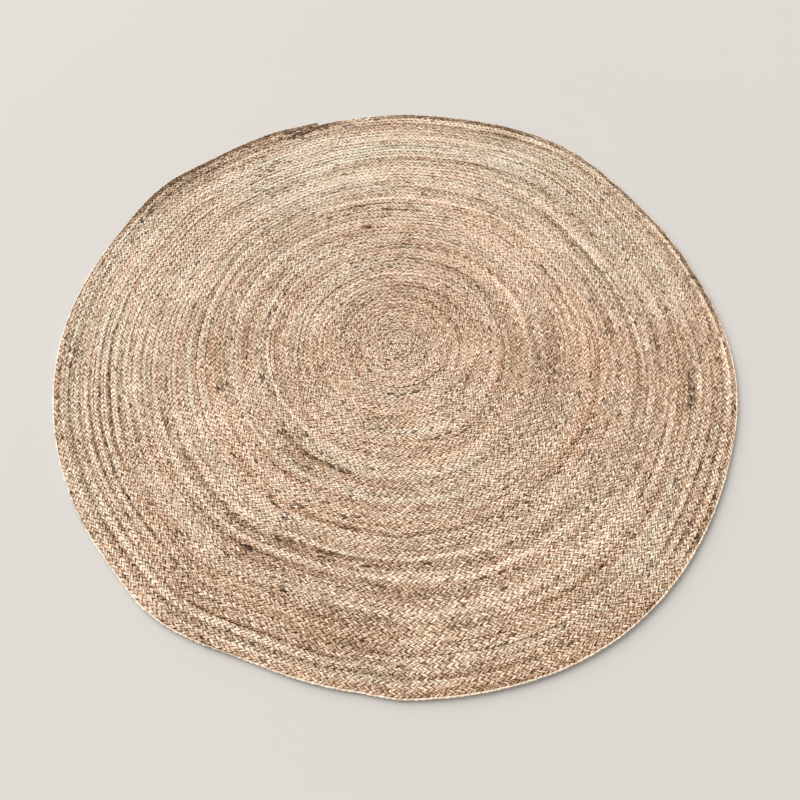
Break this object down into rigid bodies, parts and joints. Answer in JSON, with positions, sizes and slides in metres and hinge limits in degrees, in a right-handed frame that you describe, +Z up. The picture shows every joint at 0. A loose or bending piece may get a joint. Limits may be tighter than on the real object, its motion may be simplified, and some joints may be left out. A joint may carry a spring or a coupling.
{
  "type": "round jute rug",
  "caption": "Flat round rug of plain jute plaits, two side by side, wound in a spiral from the middle and sewn turn to turn, with a slightly uneven rim and a tucked-in free end.",
  "frame": {"origin": "middle of the rug's bounding box, at the floor that the underside lies on", "axes": "+Z up out of the pile side, +Y towards the back rim, where the braid's free end is tucked in a little to the left, +X to the right"},
  "size_m": [1.2012, 1.1954, 0.007],
  "materials": {
    "jute_braid": "matte, undyed braided jute, tan with cream and brown strands"
  },
  "bodies": {
    "root": {"braided_coil": "jute_braid"}
  },
  "joints": []
}
